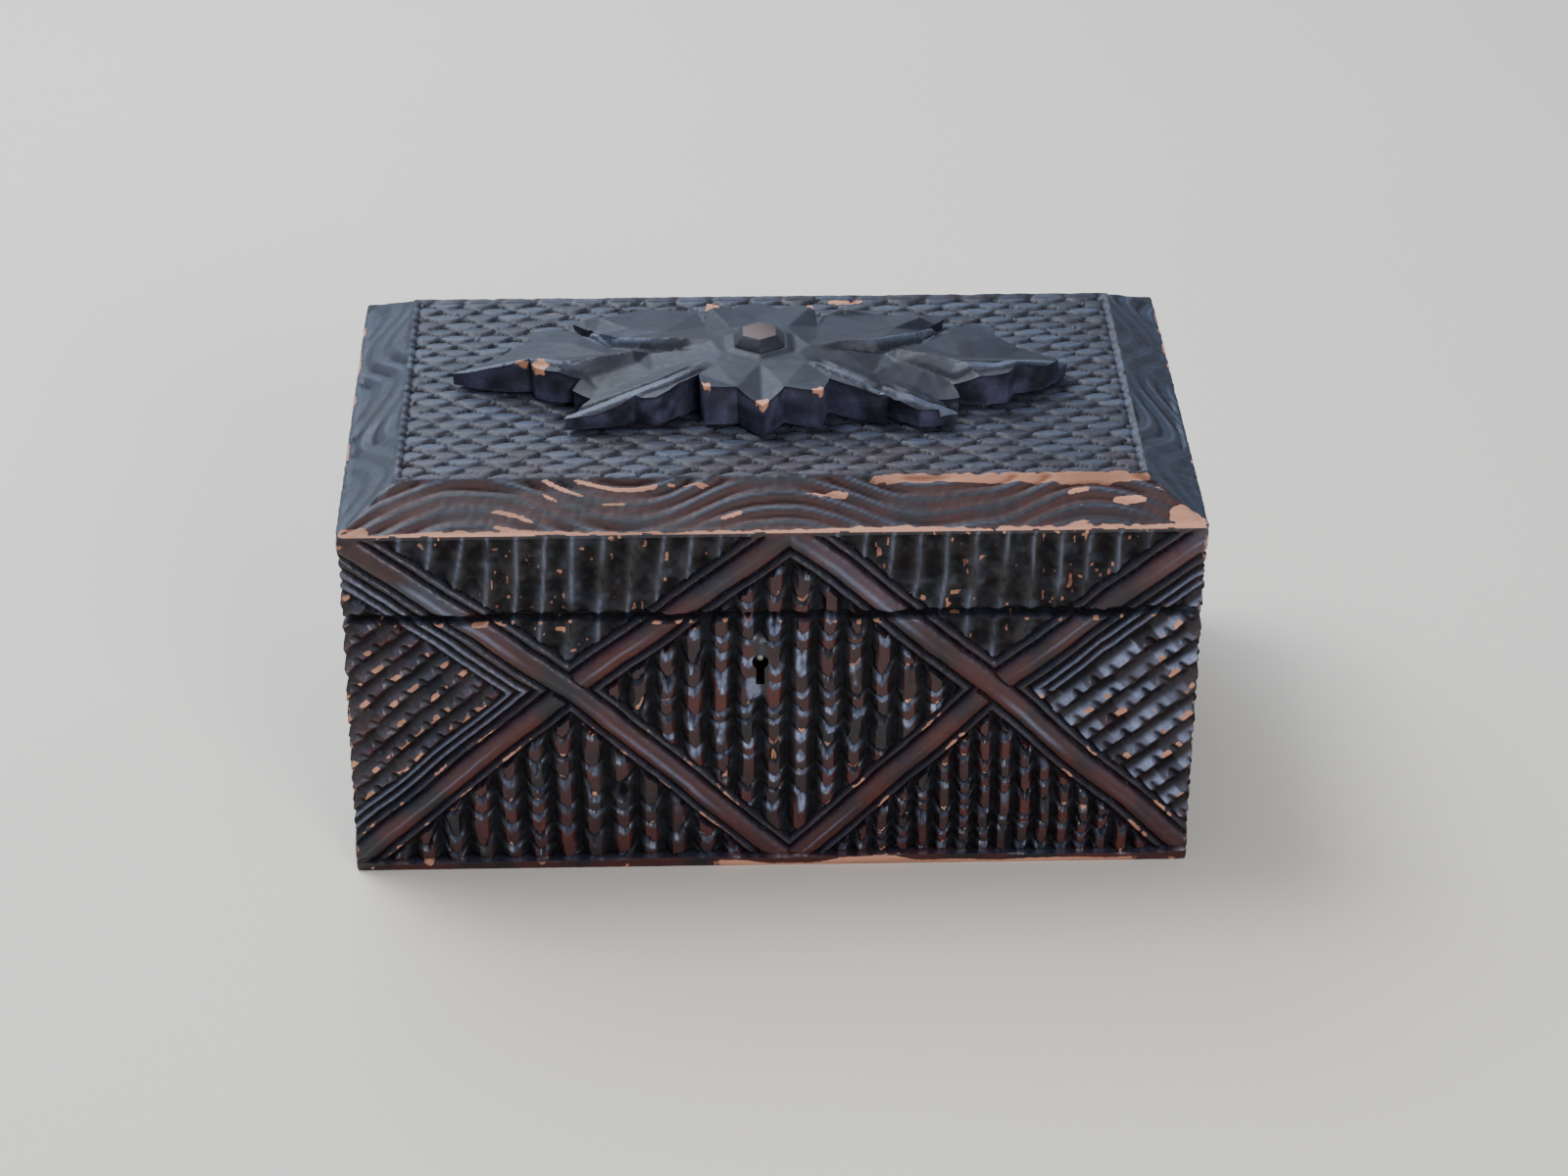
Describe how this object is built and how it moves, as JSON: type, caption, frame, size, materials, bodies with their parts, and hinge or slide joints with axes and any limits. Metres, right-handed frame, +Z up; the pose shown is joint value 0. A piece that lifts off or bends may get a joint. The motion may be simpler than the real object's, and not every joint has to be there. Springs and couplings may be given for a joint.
{
  "type": "puzzle box",
  "caption": "Carved wooden box with a rear-hinged lid, a leaf ornament that turns to uncover a key recess, and a small box lock with a sliding bolt.",
  "frame": {"origin": "centre of the underside, on the surface that the box stands on", "axes": "+X along the front to the right, +Y to the back, +Z up"},
  "size_m": [0.2, 0.119, 0.1136],
  "materials": {
    "carved_wood": "ebonised stain and worn lacquer, satin",
    "plain_wood": "bare planed, matt",
    "lock_steel": "dull, lightly tarnished",
    "brass": "aged satin"
  },
  "bodies": {
    "base": {"front_board": "carved_wood", "back_board": "carved_wood", "left_board": "carved_wood", "right_board": "carved_wood", "bottom_board": "plain_wood", "bottom_nails": "lock_steel", "lock_plate": "lock_steel", "lock_cap": "lock_steel", "lock_studs": "lock_steel", "lock_key_pin": "lock_steel", "lock_spring": "lock_steel", "lock_screws": "brass", "hinge_lower_leaf_left": "brass", "hinge_lower_leaf_right": "brass", "hinge_pin_left": "brass", "hinge_pin_right": "brass", "hinge_lower_screws": "brass"},
    "lid": {"lid_front_rail": "carved_wood", "lid_back_rail": "carved_wood", "lid_left_rail": "carved_wood", "lid_right_rail": "carved_wood", "lid_top_board": "carved_wood", "link_plate": "lock_steel", "link_screws": "brass", "hinge_upper_leaf_left": "brass", "hinge_upper_leaf_right": "brass", "hinge_upper_screws": "brass", "hidden_key": "brass"},
    "leaf": {"leaf_carving": "carved_wood", "pivot_peg": "carved_wood", "peg_washer": "plain_wood", "peg_cross_pin": "brass"},
    "bolt": {"lock_bolt": "lock_steel"}
  },
  "joints": [
    {"name": "lid_hinge", "type": "hinge", "parent": "base", "child": "lid", "pos_m": [0, 0.0565, 0.07], "axis": [-1, 0, 0], "range_deg": [0, 100]},
    {"name": "leaf_turn", "type": "hinge", "parent": "lid", "child": "leaf", "pos_m": [-0.0018, 0, 0.1003], "axis": [0, 0, 1], "continuous": true},
    {"name": "bolt_slide", "type": "slide", "parent": "base", "child": "bolt", "axis": [1, 0, 0], "range_m": [0, 0.0045]}
  ]
}
